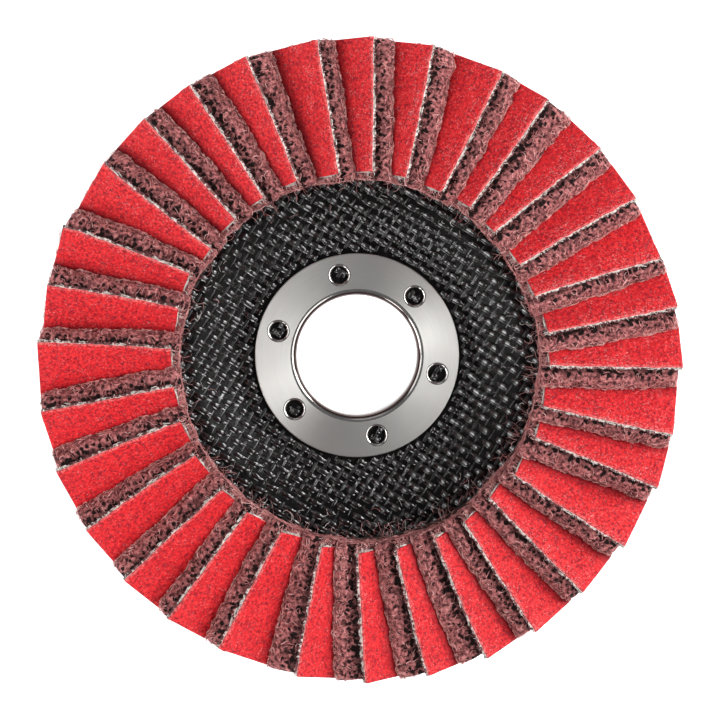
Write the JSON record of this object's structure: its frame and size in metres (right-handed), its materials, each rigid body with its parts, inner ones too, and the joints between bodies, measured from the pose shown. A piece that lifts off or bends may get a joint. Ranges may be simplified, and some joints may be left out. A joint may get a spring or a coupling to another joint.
{
  "type": "flap disc",
  "caption": "Round abrasive flap disc with interleaved coated and nonwoven flaps on a depressed-centre glass-fibre plate, with a flanged steel arbor hole.",
  "frame": {"origin": "on the bore axis, in the plane of the hub's back face", "axes": "+Z along the bore axis towards the working side, +Y the disc's 12 o'clock as seen from the working side"},
  "size_m": [0.1164, 0.1164, 0.019],
  "materials": {
    "backing_plate": "black resin over woven glass cloth, glossy on the yarns",
    "flange_ring": "brushed round the axis",
    "adhesive": "dark cured epoxy",
    "coated_flap": "red ceramic grain, finely rough, with off-white cloth at the cut edges",
    "nonwoven_flap": "open maroon fibre web, fuzzy at the cut faces"
  },
  "bodies": {
    "root": {"backing_plate": "backing_plate", "flange_ring": "flange_ring", "adhesive_bed": "adhesive", "coated_flap_01": "coated_flap", "coated_flap_02": "coated_flap", "coated_flap_03": "coated_flap", "coated_flap_04": "coated_flap", "coated_flap_05": "coated_flap", "coated_flap_06": "coated_flap", "coated_flap_07": "coated_flap", "coated_flap_08": "coated_flap", "coated_flap_09": "coated_flap", "coated_flap_10": "coated_flap", "coated_flap_11": "coated_flap", "coated_flap_12": "coated_flap", "coated_flap_13": "coated_flap", "coated_flap_14": "coated_flap", "coated_flap_15": "coated_flap", "coated_flap_16": "coated_flap", "coated_flap_17": "coated_flap", "coated_flap_18": "coated_flap", "coated_flap_19": "coated_flap", "coated_flap_20": "coated_flap", "coated_flap_21": "coated_flap", "coated_flap_22": "coated_flap", "coated_flap_23": "coated_flap", "coated_flap_24": "coated_flap", "coated_flap_25": "coated_flap", "coated_flap_26": "coated_flap", "coated_flap_27": "coated_flap", "coated_flap_28": "coated_flap", "coated_flap_29": "coated_flap", "coated_flap_30": "coated_flap", "coated_flap_31": "coated_flap", "coated_flap_32": "coated_flap", "nonwoven_flaps_01_02": "nonwoven_flap", "nonwoven_flaps_03_04": "nonwoven_flap", "nonwoven_flaps_05_06": "nonwoven_flap", "nonwoven_flaps_07_08": "nonwoven_flap", "nonwoven_flaps_09_10": "nonwoven_flap", "nonwoven_flaps_11_12": "nonwoven_flap", "nonwoven_flaps_13_14": "nonwoven_flap", "nonwoven_flaps_15_16": "nonwoven_flap", "nonwoven_flaps_17_18": "nonwoven_flap", "nonwoven_flaps_19_20": "nonwoven_flap", "nonwoven_flaps_21_22": "nonwoven_flap", "nonwoven_flaps_23_24": "nonwoven_flap", "nonwoven_flaps_25_26": "nonwoven_flap", "nonwoven_flaps_27_28": "nonwoven_flap", "nonwoven_flaps_29_30": "nonwoven_flap", "nonwoven_flaps_31_32": "nonwoven_flap"}
  },
  "joints": []
}
